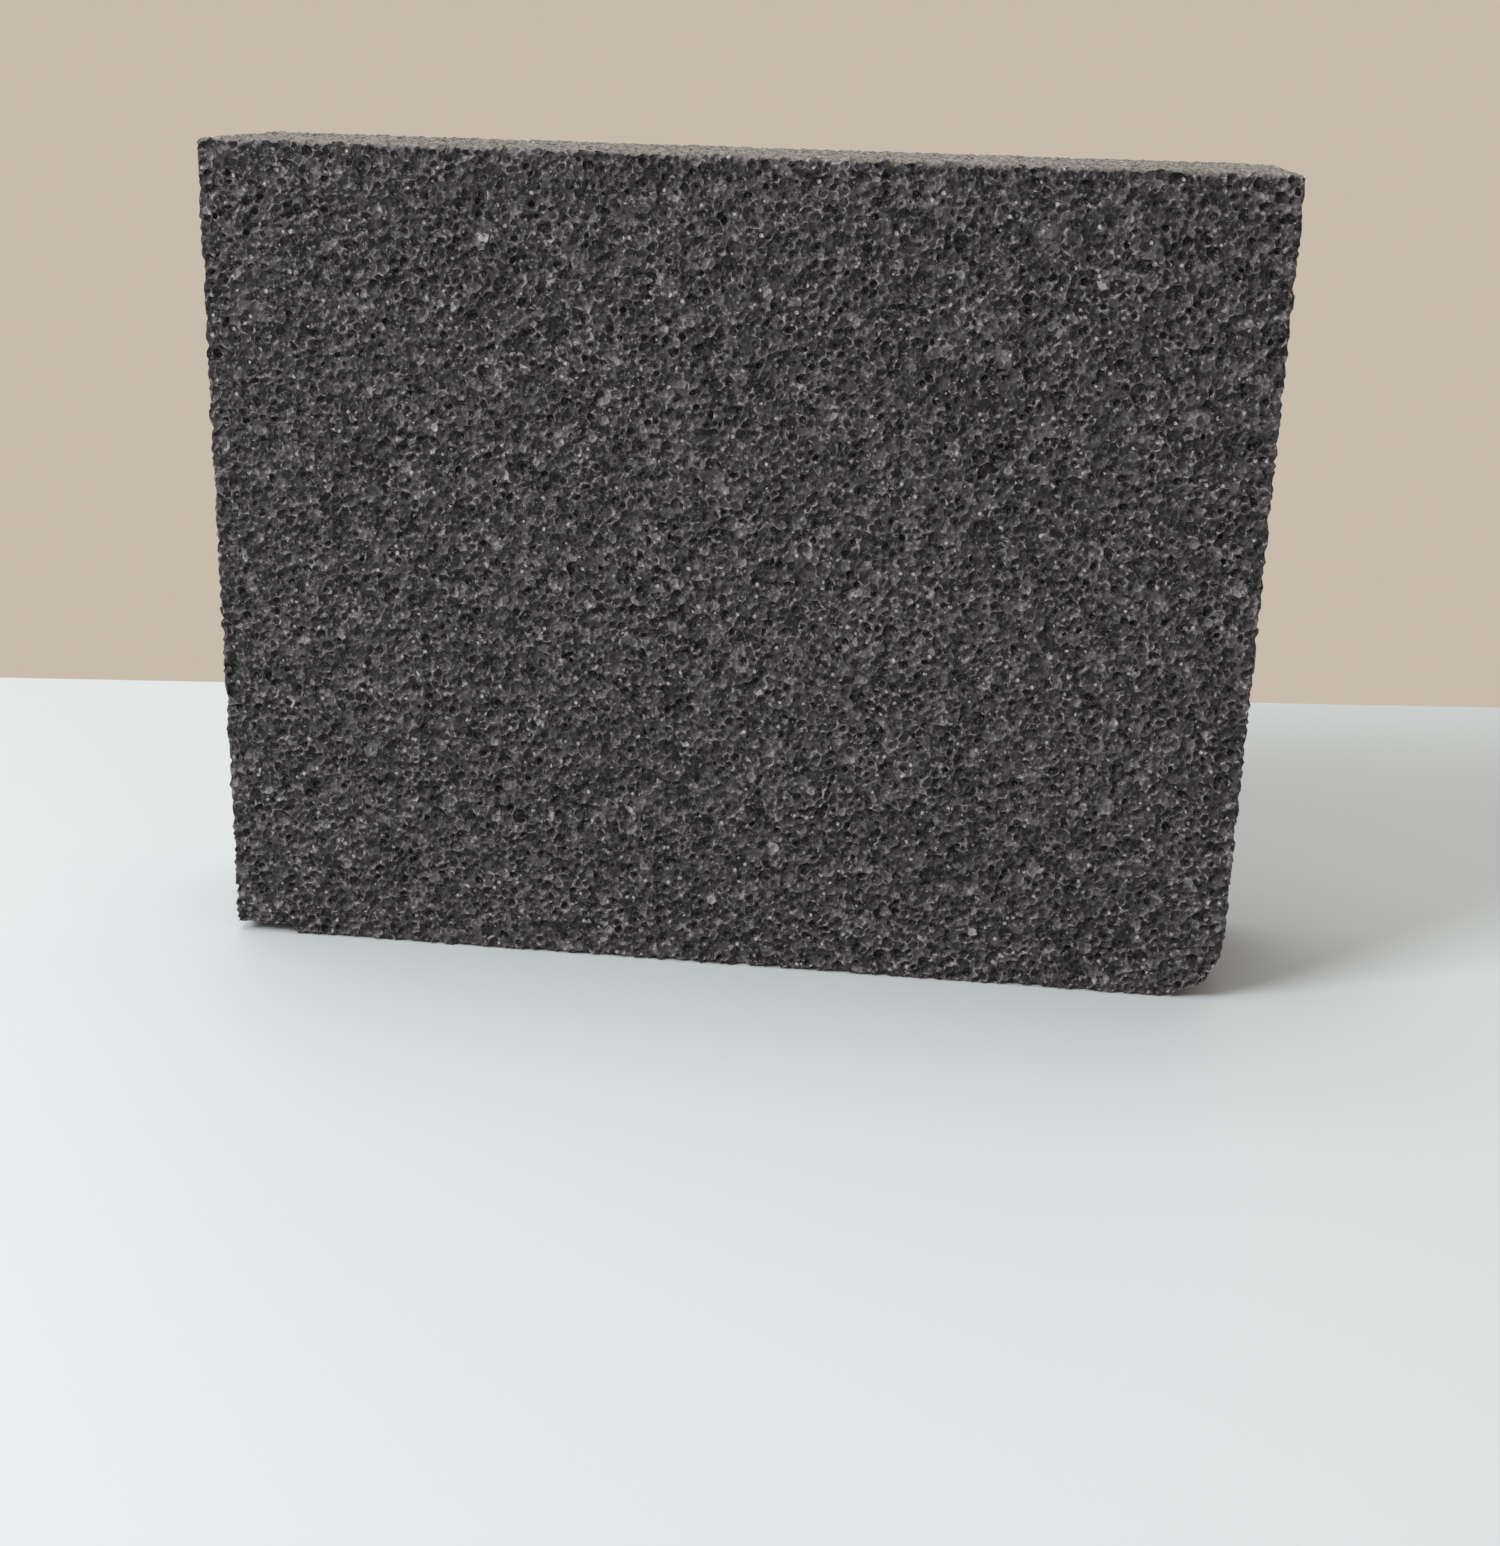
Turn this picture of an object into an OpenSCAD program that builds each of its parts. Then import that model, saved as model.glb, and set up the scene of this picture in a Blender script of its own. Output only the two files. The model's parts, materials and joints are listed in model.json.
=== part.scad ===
// Foam glass insulation board
// A sawn block of closed-cell foam glass that stands on one of its long edges.
// X runs along that edge, Y through the thickness, Z up. The front broad face
// looks towards -Y. The origin is the middle of the base.

/* [Board] */
// Width, along the edge it stands on
board_w = 140; // [80:1:600]
// Thickness, between the two broad faces
board_t = 30; // [20:1:150]
// Height, from the base to the top edge
board_h = 110; // [70:1:450]

/* [Worn edges] */
// Bevel that handling leaves along the sawn edges
edge_bevel = 0.4; // [0.1:0.1:1.5]
// Radius of the top left corner
top_left_r = 0.6; // [0.2:0.1:6]
// Radius of the top right corner
top_right_r = 1.2; // [0.2:0.1:6]
// Radius of the bottom left corner
bottom_left_r = 1.8; // [0.2:0.1:6]

/* [Broken corner] */
// Length of the front edge that the shallow face of the break takes
shallow_run = 7.5; // [2:0.5:15]
// Height of the right edge that the shallow face of the break takes
shallow_rise = 3.2; // [1:0.1:8]
// Length of the front edge that the steep face of the break takes
steep_run = 3.2; // [1:0.1:8]
// Height of the right edge that the steep face of the break takes
steep_rise = 7; // [2:0.5:15]
// Share of the break that is left where it reaches the back
break_taper = 0.45; // [0.1:0.05:0.95]

/* [Base flake] */
// Length of the flake lost from the base at the left
flake_w = 8.5; // [3:0.5:20]
// How far back from the front face the flake reaches
flake_t = 7; // [2:0.5:15]
// Height of the flake at the front face
flake_h = 1.3; // [0.5:0.1:3]

/* [Large cells] */
// Large cut-open cells on each square centimetre of face
cell_density = 0.12; // [0.02:0.02:0.2]
// Diameter of the smallest large cell
cell_d_min = 2.6; // [2.4:0.1:3]
// Diameter of the largest cell
cell_d_max = 4; // [3.1:0.1:5]
// Depth of a large cell below the sawn face
cell_depth = 1.1; // [0.5:0.1:1.2]
// Width of the strip along the edges of a face that has no large cell
cell_margin = 4; // [3:0.5:6]

/* [Hidden] */

foam_colour = "#464344";
corner_segments = 48;
cell_segments = 24;

// Room that a cutting shape has beyond the block
cut_room = 5;
square_mm_per_square_cm = 100;

// Steps of the sequences that spread the large cells and mix their sizes
plastic_ratio = 1.3247179572;
u_step = 1 / plastic_ratio;
v_step = 1 / pow(plastic_ratio, 2);
size_step = (sqrt(5) - 1) / 2;
// Furthest that a cell wanders off its even place, as a share of the face
cell_wander = 0.2;

// Where each face's cells start in the sequence, so that no two faces match
front_start = 1;
back_start = 40;
left_start = 80;
right_start = 100;
top_start = 120;
base_start = 140;

function fraction(number) = number - floor(number);

// Place across a face as a share of its length. Even steps spread the cells
// over the face, and the second term moves each one off the rows they form.
function share_along(index, step, wander_step) =
    fraction(index * step + cell_wander * fraction(index * index * wander_step));

// Place of a cell on a face a wide and b high, measured from its middle
function cell_place(a, b, index) = [
    (share_along(index, u_step, size_step) - 0.5) * (a - 2 * cell_margin),
    (share_along(index, v_step, v_step) - 0.5) * (b - 2 * cell_margin)
];

function cell_diameter(index) =
    cell_d_min + (cell_d_max - cell_d_min) * fraction(index * size_step);

// Rectangle a by b about the middle, with its four corners cut at 45 degrees
module bevelled_rectangle(a, b) {
    polygon([
        for (corner = [[1, 1], [-1, 1], [-1, -1], [1, -1]])
            let (
                on_side = [corner[0] * a / 2, corner[1] * (b / 2 - edge_bevel)],
                on_end = [corner[0] * (a / 2 - edge_bevel), corner[1] * b / 2],
                side_first = corner[0] * corner[1] > 0
            )
            for (point = side_first ? [on_side, on_end] : [on_end, on_side]) point
    ]);
}

// What a corner of radius r loses, for a corner at the origin that opens to +X +Y
module corner_loss(r) {
    difference() {
        translate([-cut_room, -cut_room])
            square(r + cut_room);
        translate([r, r])
            circle(r = r, $fn = corner_segments);
    }
}

// Outline seen from the front, standing on the X axis
module front_outline() {
    difference() {
        translate([-board_w / 2, 0])
            square([board_w, board_h]);
        translate([-board_w / 2, 0])
            corner_loss(bottom_left_r);
        translate([-board_w / 2, board_h])
            mirror([0, 1])
                corner_loss(top_left_r);
        translate([board_w / 2, board_h])
            rotate(180)
                corner_loss(top_right_r);
    }
}

// The sawn block: three outlines, each run along its own axis, where they meet
module sawn_block() {
    intersection() {
        rotate([90, 0, 0])
            linear_extrude(height = board_t, center = true)
                front_outline();
        translate([0, 0, board_h / 2])
            rotate([90, 0, 90])
                linear_extrude(height = board_w, center = true)
                    bevelled_rectangle(board_t, board_h);
        linear_extrude(height = board_h)
            bevelled_rectangle(board_w, board_t);
    }
}

// All that lies beyond a plane through the bottom right corner. At the front
// the plane meets the base run from the corner and the side rise above it. At
// the back it meets them at break_taper of that.
module beyond_break(run, rise) {
    along = [run, 0, rise];
    back = [run * (1 - break_taper), board_t, 0];
    outward = cross(back, along);
    tilt = acos(outward[2] / norm(outward));
    turn = atan2(outward[1], outward[0]);
    reach = 2 * (board_t + run + rise);
    translate([board_w / 2 - run, -board_t / 2, 0])
        rotate([0, tilt, turn])
            translate([-reach / 2, -reach / 2, 0])
                cube(reach);
}

module broken_corner() {
    beyond_break(shallow_run, shallow_rise);
    beyond_break(steep_run, steep_rise);
}

// Thin wedge that has flaked off the base, open to the front and to the left
module base_flake() {
    slope = atan(flake_h / flake_t);
    length = flake_t / cos(slope) + cut_room;
    translate([-board_w / 2 - cut_room, -board_t / 2, flake_h])
        rotate([-slope, 0, 0])
            translate([0, -cut_room, -cut_room])
                cube([flake_w + cut_room, length + cut_room, cut_room]);
}

// Large cells over a face a by b that lies in the XY plane and looks to +Z
module large_cells(a, b, start) {
    count = round(a * b / square_mm_per_square_cm * cell_density);
    for (index = [start : 1 : start + count - 1]) {
        place = cell_place(a, b, index);
        radius = cell_diameter(index) / 2;
        translate([place[0], place[1], radius - cell_depth])
            sphere(r = radius, $fn = cell_segments);
    }
}

module front_and_back_cells() {
    translate([0, -board_t / 2, board_h / 2])
        rotate([90, 0, 0])
            large_cells(board_w, board_h, front_start);
    translate([0, board_t / 2, board_h / 2])
        rotate([-90, 0, 0])
            large_cells(board_w, board_h, back_start);
}

module end_cells() {
    translate([-board_w / 2, 0, board_h / 2])
        rotate([0, -90, 0])
            large_cells(board_h, board_t, left_start);
    translate([board_w / 2, 0, board_h / 2])
        rotate([0, 90, 0])
            large_cells(board_h, board_t, right_start);
}

module top_and_base_cells() {
    translate([0, 0, board_h])
        large_cells(board_w, board_t, top_start);
    rotate([180, 0, 0])
        large_cells(board_w, board_t, base_start);
}

module board() {
    color(foam_colour)
        difference() {
            sawn_block();
            broken_corner();
            base_flake();
            front_and_back_cells();
            end_cells();
            top_and_base_cells();
        }
}

board();
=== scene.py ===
"""Foam glass insulation board: its looks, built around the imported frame.

Every size is in metres. The board stands on one of its long edges, with its
front broad face towards -Y, and its CAD node gives the place and the size of
the block that is built here. The sawn block is covered with scattered points,
each point becomes one cut cell, and each cell is hollowed between thin walls.
"""

import json
import logging
import math
from collections.abc import Callable
from dataclasses import dataclass, field
from enum import Enum
from functools import partial

import bpy
import numpy as np
from mathutils import Matrix, Vector

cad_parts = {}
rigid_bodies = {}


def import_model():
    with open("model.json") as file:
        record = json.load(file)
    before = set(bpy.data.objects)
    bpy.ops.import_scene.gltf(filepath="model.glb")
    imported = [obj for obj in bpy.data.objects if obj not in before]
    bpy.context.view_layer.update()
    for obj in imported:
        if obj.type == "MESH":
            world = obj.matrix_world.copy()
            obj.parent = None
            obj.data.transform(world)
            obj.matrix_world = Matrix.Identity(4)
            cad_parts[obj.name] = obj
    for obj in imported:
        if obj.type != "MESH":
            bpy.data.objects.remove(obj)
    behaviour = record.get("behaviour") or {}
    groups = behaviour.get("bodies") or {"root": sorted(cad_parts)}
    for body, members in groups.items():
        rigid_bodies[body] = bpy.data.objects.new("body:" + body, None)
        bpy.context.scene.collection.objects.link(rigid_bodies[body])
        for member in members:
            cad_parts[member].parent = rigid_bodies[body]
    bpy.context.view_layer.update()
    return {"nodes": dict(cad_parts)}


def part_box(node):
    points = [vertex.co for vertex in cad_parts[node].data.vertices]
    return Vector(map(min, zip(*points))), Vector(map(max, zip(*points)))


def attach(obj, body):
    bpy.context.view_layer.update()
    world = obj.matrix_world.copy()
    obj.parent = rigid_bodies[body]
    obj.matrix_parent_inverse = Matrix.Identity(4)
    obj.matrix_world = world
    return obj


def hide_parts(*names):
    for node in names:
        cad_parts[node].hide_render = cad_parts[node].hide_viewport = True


LOG = logging.getLogger("foam_glass_board")
MM = 0.001
Colour = tuple[float, float, float, float]
Socket = bpy.types.NodeSocket
AddNode = Callable[..., bpy.types.Node]


def linear(hex_colour: str) -> Colour:
    """Turns an sRGB hex colour into Blender's linear RGBA.

    Args:
        hex_colour: six hex digits, with or without a leading hash.

    Returns:
        Linear red, green and blue, and an alpha of 1.
    """
    digits = hex_colour.lstrip("#")
    channels = [int(digits[i : i + 2], 16) / 255 for i in (0, 2, 4)]
    light = [c / 12.92 if c <= 0.04045 else ((c + 0.055) / 1.055) ** 2.4 for c in channels]
    return light[0], light[1], light[2], 1.0


def add_node(
    tree: bpy.types.NodeTree, kind: str, settings: dict | None = None, **sockets: object
) -> bpy.types.Node:
    """Adds a node with its settings, and sets or links its inputs.

    Args:
        tree: the node tree that gets the node.
        kind: the node's type name, such as "ShaderNodeMath".
        settings: properties of the node, such as {"operation": "ADD"}.
        sockets: a value or an output socket for each input. The key is the
            input's name in lower case with underscores, or "at_" and its index.

    Returns:
        The new node.
    """
    node = tree.nodes.new(kind)
    for name, value in (settings or {}).items():
        setattr(node, name, value)
    for key, value in sockets.items():
        if key.startswith("at_"):
            socket = node.inputs[int(key[3:])]
        else:
            socket = next(s for s in node.inputs if s.name.lower().replace(" ", "_") == key and s.enabled)
        if isinstance(value, Socket):
            tree.links.new(value, socket)
        else:
            socket.default_value = value
    return node


def coordinates(mesh: bpy.types.Mesh) -> np.ndarray:
    """Reads a mesh's points.

    Args:
        mesh: the mesh.

    Returns:
        One row of x, y and z for each point.
    """
    flat = np.empty(len(mesh.vertices) * 3)
    mesh.vertices.foreach_get("co", flat)
    return flat.reshape(-1, 3)


def set_coordinates(mesh: bpy.types.Mesh, places: np.ndarray) -> None:
    """Moves a mesh's points.

    Args:
        mesh: the mesh.
        places: one row of x, y and z for each point.
    """
    mesh.vertices.foreach_set("co", places.ravel())
    mesh.update()


def edge_ends(mesh: bpy.types.Mesh) -> np.ndarray:
    """Reads the two points at the ends of each edge.

    Args:
        mesh: the mesh.

    Returns:
        One row of two point numbers for each edge.
    """
    ends = np.empty(len(mesh.edges) * 2, int)
    mesh.edges.foreach_get("vertices", ends)
    return ends.reshape(-1, 2)


def select_vertices(mesh: bpy.types.Mesh, chosen: np.ndarray) -> None:
    """Selects points, and the edges and faces that lie wholly between them.

    Args:
        mesh: the mesh.
        chosen: true for each point to select.
    """
    bpy.context.tool_settings.mesh_select_mode = (True, False, False)
    mesh.vertices.foreach_set("select", chosen)
    mesh.edges.foreach_set("select", chosen[edge_ends(mesh)].all(1))
    mesh.polygons.foreach_set("select", [bool(chosen[list(p.vertices)].all()) for p in mesh.polygons])


def select_all(mesh: bpy.types.Mesh) -> None:
    """Selects all of a mesh."""
    select_vertices(mesh, np.ones(len(mesh.vertices), bool))


def select_edges(mesh: bpy.types.Mesh, chosen: np.ndarray) -> None:
    """Selects edges alone.

    Args:
        mesh: the mesh.
        chosen: true for each edge to select.
    """
    bpy.context.tool_settings.mesh_select_mode = (False, True, False)
    mesh.polygons.foreach_set("select", np.zeros(len(mesh.polygons), bool))
    mesh.vertices.foreach_set("select", np.zeros(len(mesh.vertices), bool))
    mesh.edges.foreach_set("select", chosen)


def select_faces(mesh: bpy.types.Mesh, chosen: np.ndarray) -> None:
    """Selects faces alone.

    Args:
        mesh: the mesh.
        chosen: true for each face to select.
    """
    bpy.context.tool_settings.mesh_select_mode = (False, False, True)
    mesh.vertices.foreach_set("select", np.zeros(len(mesh.vertices), bool))
    mesh.edges.foreach_set("select", np.zeros(len(mesh.edges), bool))
    mesh.polygons.foreach_set("select", chosen)


def in_edit_mode(step: Callable[[], object]) -> None:
    """Runs one modelling step in edit mode.

    Args:
        step: the step to run.
    """
    bpy.ops.object.mode_set(mode="EDIT")
    step()
    bpy.ops.object.mode_set(mode="OBJECT")


def join_selected() -> None:
    """Joins the faces around the selected points, and gives them one point in their middle."""
    bpy.ops.mesh.select_more()
    bpy.ops.mesh.dissolve_faces()
    bpy.ops.mesh.poke()


class Axis(Enum):
    """The three axes of the shared frame."""

    X = 0
    Y = 1
    Z = 2


class End(Enum):
    """The two ends of an axis: left and right, or base and top."""

    LOW = -1
    HIGH = 1


@dataclass(frozen=True)
class Box:
    """The upright box that the board fills."""

    low: np.ndarray
    high: np.ndarray

    @property
    def size(self) -> np.ndarray:
        """Width, thickness and height."""
        return self.high - self.low

    @property
    def middle(self) -> np.ndarray:
        """The box's centre."""
        return (self.high + self.low) / 2

    def keep_inside(self, places: np.ndarray) -> np.ndarray:
        """Brings points that lie outside back to the box's sides."""
        return np.clip(places, self.low, self.high)

    def reaches(self, places: np.ndarray) -> np.ndarray:
        """Measures how far points lie from the six sides.

        Args:
            places: points in or on the box.

        Returns:
            For each point, its distance from the low X, Y and Z sides and then
            from the high ones.
        """
        return np.concatenate([places - self.low, self.high - places], axis=1)

    def from_edge(self, places: np.ndarray) -> np.ndarray:
        """Measures how far each point of the surface lies from the nearest edge."""
        nearest_first = np.sort(self.reaches(places), axis=1)
        return nearest_first[:, 1]

    def off_sides(self, places: np.ndarray, margin: float) -> np.ndarray:
        """Counts along how many axes each point lies off both sides.

        Args:
            places: points in or on the box.
            margin: how far a point must lie from a side to count as off it.

        Returns:
            3 for a point within, 2 on a side, 1 on an edge and 0 on a corner.
        """
        return ((places > self.low + margin) & (places < self.high - margin)).sum(1)


@dataclass(frozen=True)
class Wear:
    """What handling has taken off the sawn block, as the CAD source has it."""

    top_left_r: float = 0.6 * MM
    top_right_r: float = 1.2 * MM
    bottom_left_r: float = 1.8 * MM
    # What each face of the broken corner takes of the base and of the right edge.
    break_faces: tuple[tuple[float, float], ...] = ((7.5 * MM, 3.2 * MM), (3.2 * MM, 7.0 * MM))
    break_taper: float = 0.45
    break_roughness: float = 0.35 * MM
    flake_w: float = 8.5 * MM
    flake_t: float = 7.0 * MM
    flake_h: float = 1.3 * MM


@dataclass(frozen=True)
class LargeCells:
    """The few large cells, spread as the CAD source spreads them."""

    per_cm2: float = 0.12
    d_min: float = 2.6 * MM
    d_max: float = 4.0 * MM
    depth: float = 1.0 * MM
    margin: float = 4.0 * MM
    clear_of_edges: float = 2.6 * MM
    merged_reach: float = 0.75
    deepened_reach: float = 0.5
    # Steps of one over this ratio and of its square spread points evenly over a
    # face, and the wander keeps them out of rows.
    plastic_ratio: float = 1.3247179572
    wander: float = 0.2
    # Where the front, back, left, right, top and base begin in the sequence.
    starts: tuple[int, ...] = (1, 40, 80, 100, 120, 140)

    def places(self, a: float, b: float, start: int) -> list[tuple[float, float, float]]:
        """Spreads cells over a face.

        Args:
            a: the face's first side.
            b: the face's second side.
            start: where the face begins in the sequence.

        Returns:
            For each cell, its place from the middle of the face and its radius.
        """
        u_step = 1 / self.plastic_ratio
        v_step = u_step * u_step
        size_step = (math.sqrt(5) - 1) / 2
        count = round(a * b / (10 * MM) ** 2 * self.per_cm2)
        cells = []
        for index in range(start, start + count):
            u = (index * u_step + self.wander * (index * index * size_step % 1)) % 1
            v = (index * v_step + self.wander * (index * index * v_step % 1)) % 1
            diameter = self.d_min + (self.d_max - self.d_min) * (index * size_step % 1)
            cells.append(((u - 0.5) * (a - 2 * self.margin), (v - 0.5) * (b - 2 * self.margin), diameter / 2))
        return cells

    def on_box(self, box: Box) -> np.ndarray:
        """Lists the large cells on all six sides.

        Args:
            box: the block's box.

        Returns:
            For each cell, its place on the surface and its radius.
        """
        w, t, h = box.size
        sides = (
            (w, h, Matrix.Rotation(math.pi / 2, 3, "X"), Vector((0, -t / 2, 0))),
            (w, h, Matrix.Rotation(-math.pi / 2, 3, "X"), Vector((0, t / 2, 0))),
            (h, t, Matrix.Rotation(-math.pi / 2, 3, "Y"), Vector((-w / 2, 0, 0))),
            (h, t, Matrix.Rotation(math.pi / 2, 3, "Y"), Vector((w / 2, 0, 0))),
            (w, t, Matrix.Identity(3), Vector((0, 0, h / 2))),
            (w, t, Matrix.Rotation(math.pi, 3, "X"), Vector((0, 0, -h / 2))),
        )
        middle = Vector(box.middle)
        return np.array(
            [
                (*(middle + offset + turn @ Vector((u, v, 0))), radius)
                for start, (a, b, turn, offset) in zip(self.starts, sides)
                for u, v, radius in self.places(a, b, start)
            ]
        )


@dataclass(frozen=True)
class Scatter:
    """How the points are spread that become the cells."""

    pitch: float = 1.05 * MM
    jitter: float = 0.27
    rounds: int = 3
    relax: float = 0.20
    thinned_share: float = 0.15
    thinning_rounds: int = 2
    # How far a cell pushes the points around it away, in pitches.
    shrink: float = -0.25
    swell: float = 0.60
    turn_limit: float = math.radians(2)
    seed: int = 12


@dataclass
class SawnBlock:
    """The block with its worn outline, covered with one point for each cell."""

    box: Box
    scatter: Scatter = field(default_factory=Scatter)
    wear: Wear = field(default_factory=Wear)
    large: LargeCells = field(default_factory=LargeCells)
    on_side: float = 0.001 * MM

    def __post_init__(self) -> None:
        """Starts the random draws."""
        self.draw = np.random.default_rng(self.scatter.seed)

    def build(self) -> bpy.types.Object:
        """Makes the block.

        Returns:
            The block as a mesh of triangles between the scattered points.
        """
        block = self.saw_out()
        self.divide(block.data)
        for _ in range(self.scatter.rounds):
            self.scatter_points(block.data)
        for _ in range(self.scatter.thinning_rounds):
            self.thin_out(block.data)
        self.swell_points(block.data)
        self.join_large_cells(block.data)
        self.wear_down(block.data)
        return block

    def saw_out(self) -> bpy.types.Object:
        """Adds the plain block that everything starts from.

        Returns:
            The block, with its place and size in its mesh.
        """
        bpy.ops.object.select_all(action="DESELECT")
        bpy.ops.mesh.primitive_cube_add(size=1, location=self.box.middle)
        block = bpy.context.object
        block.name = "foam_glass_board"
        block.scale = self.box.size
        bpy.ops.object.transform_apply(location=True, rotation=True, scale=True)
        return block

    def divide(self, mesh: bpy.types.Mesh) -> None:
        """Cuts the block's sides into triangles about one cell wide.

        Args:
            mesh: the block's mesh.
        """
        for axis in Axis:
            halfway = 1
            between = round(self.box.size[axis.value] / 2 / self.scatter.pitch) - 1
            self.cut_across(mesh, axis, halfway)
            self.cut_across(mesh, axis, between)
        select_all(mesh)
        in_edit_mode(lambda: bpy.ops.mesh.quads_convert_to_tris(quad_method="SHORTEST_DIAGONAL"))

    def cut_across(self, mesh: bpy.types.Mesh, axis: Axis, cuts: int) -> None:
        """Cuts every edge that runs along an axis.

        Args:
            mesh: the block's mesh.
            axis: the way that the edges run.
            cuts: how many cuts each edge gets, at most 100.
        """
        places = coordinates(mesh)
        ends = edge_ends(mesh)
        run = np.abs(places[ends[:, 0]] - places[ends[:, 1]])
        select_edges(mesh, run.argmax(1) == axis.value)
        in_edit_mode(lambda: bpy.ops.mesh.subdivide(number_cuts=cuts))

    def slide(self, mesh: bpy.types.Mesh, moves: np.ndarray) -> None:
        """Moves points along the sides and edges that they lie on.

        Args:
            mesh: the block's mesh.
            moves: how far each point would move if it were free.
        """
        places = coordinates(mesh)
        free = (places > self.box.low + self.on_side) & (places < self.box.high - self.on_side)
        set_coordinates(mesh, self.box.keep_inside(places + moves * free))

    def inside_sides(self, mesh: bpy.types.Mesh) -> np.ndarray:
        """Finds the points that lie inside a side, away from its edges."""
        return self.box.off_sides(coordinates(mesh), self.on_side) == 2

    def scatter_points(self, mesh: bpy.types.Mesh) -> None:
        """Moves the points a little out of their rows.

        Args:
            mesh: the block's mesh.
        """
        step = self.scatter.pitch * self.scatter.jitter
        self.slide(mesh, self.draw.uniform(-step, step, (len(mesh.vertices), 3)))
        self.even_out(mesh)

    def even_out(self, mesh: bpy.types.Mesh) -> None:
        """Turns badly shaped triangles, and evens out the points inside each side.

        Args:
            mesh: the block's mesh.
        """
        self.turn_edges(mesh)
        select_vertices(mesh, self.inside_sides(mesh))
        in_edit_mode(lambda: bpy.ops.mesh.vertices_smooth(factor=self.scatter.relax))
        self.turn_edges(mesh)

    def turn_edges(self, mesh: bpy.types.Mesh) -> None:
        """Turns the edges between flat neighbours, so that triangles are well shaped."""
        select_all(mesh)
        in_edit_mode(lambda: bpy.ops.mesh.beautify_fill(angle_limit=self.scatter.turn_limit))

    def thin_out(self, mesh: bpy.types.Mesh) -> None:
        """Takes out some points, no two of them neighbours, so that the cells differ in size.

        Args:
            mesh: the block's mesh.
        """
        inside = self.inside_sides(mesh)
        around, first = self.neighbours(mesh)
        chosen = np.zeros(len(inside), bool)
        wanted = int(len(inside) * self.scatter.thinned_share)
        for point in self.draw.permutation(np.flatnonzero(inside)):
            if wanted and not chosen[around[first[point] : first[point + 1]]].any():
                chosen[point] = True
                wanted -= 1
        select_vertices(mesh, chosen)
        in_edit_mode(lambda: bpy.ops.mesh.dissolve_verts())
        select_all(mesh)
        in_edit_mode(lambda: bpy.ops.mesh.quads_convert_to_tris(quad_method="BEAUTY", ngon_method="BEAUTY"))
        self.even_out(mesh)

    def neighbours(self, mesh: bpy.types.Mesh) -> tuple[np.ndarray, np.ndarray]:
        """Lists the points that share an edge with each point.

        Args:
            mesh: the block's mesh.

        Returns:
            All neighbours, sorted by the point they belong to, and where each
            point's neighbours begin in that list, with the list's end last.
        """
        ends = edge_ends(mesh)
        pairs = np.concatenate([ends, ends[:, ::-1]])
        pairs = pairs[np.argsort(pairs[:, 0], kind="stable")]
        return pairs[:, 1], np.searchsorted(pairs[:, 0], np.arange(len(mesh.vertices) + 1))

    def swell_points(self, mesh: bpy.types.Mesh) -> None:
        """Lets some cells grow and some shrink by moving the points around them.

        Args:
            mesh: the block's mesh.
        """
        places = coordinates(mesh)
        around, first = self.neighbours(mesh)
        taken = np.zeros(len(places), bool)
        growth = np.zeros(len(places))
        for point in self.draw.permutation(len(places)):
            ring = around[first[point] : first[point + 1]]
            if not taken[point] and not taken[ring].any():
                taken[point] = taken[ring] = True
                growth[point] = self.draw.uniform(self.scatter.shrink, self.scatter.swell)
        owner = np.repeat(np.arange(len(places)), np.diff(first))
        away = places[around] - places[owner]
        away /= np.linalg.norm(away, axis=1, keepdims=True)
        moves = np.zeros_like(places)
        np.add.at(moves, around, away * growth[owner, None] * self.scatter.pitch)
        self.slide(mesh, moves)
        self.turn_edges(mesh)

    def join_large_cells(self, mesh: bpy.types.Mesh) -> None:
        """Joins all the points within each large cell into one.

        Args:
            mesh: the block's mesh.
        """
        places = coordinates(mesh)
        inside = np.zeros(len(places), bool)
        for x, y, z, radius in self.large.on_box(self.box):
            inside |= np.linalg.norm(places - (x, y, z), axis=1) < radius * self.large.merged_reach
        inside &= self.box.off_sides(places, self.large.clear_of_edges) == 2
        select_vertices(mesh, inside)
        in_edit_mode(join_selected)

    def wear_down(self, mesh: bpy.types.Mesh) -> None:
        """Pushes the points that lie beyond the worn shape onto it.

        Args:
            mesh: the block's mesh.
        """
        places = coordinates(mesh)
        places = self.round_corner(places, End.LOW, End.HIGH, self.wear.top_left_r)
        places = self.round_corner(places, End.HIGH, End.HIGH, self.wear.top_right_r)
        places = self.round_corner(places, End.LOW, End.LOW, self.wear.bottom_left_r)
        for run, rise in self.wear.break_faces:
            places = self.break_off(places, run, rise)
        set_coordinates(mesh, self.box.keep_inside(self.flake_off(places)))

    def round_corner(self, places: np.ndarray, across: End, up: End, radius: float) -> np.ndarray:
        """Rounds a corner of the front outline.

        Args:
            places: the block's points.
            across: the left or the right end.
            up: the base or the top.
            radius: the corner's radius.

        Returns:
            The points, with those beyond the round moved onto it.
        """
        centre_x = self.box.middle[0] + across.value * (self.box.size[0] / 2 - radius)
        centre_z = self.box.middle[2] + up.value * (self.box.size[2] / 2 - radius)
        x, z = places[:, 0] - centre_x, places[:, 2] - centre_z
        reach = np.hypot(x, z)
        beyond = (x * across.value > 0) & (z * up.value > 0) & (reach > radius)
        shrink = np.where(beyond, radius / np.maximum(reach, radius), 1)
        places[:, 0] = centre_x + x * shrink
        places[:, 2] = centre_z + z * shrink
        return places

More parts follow.
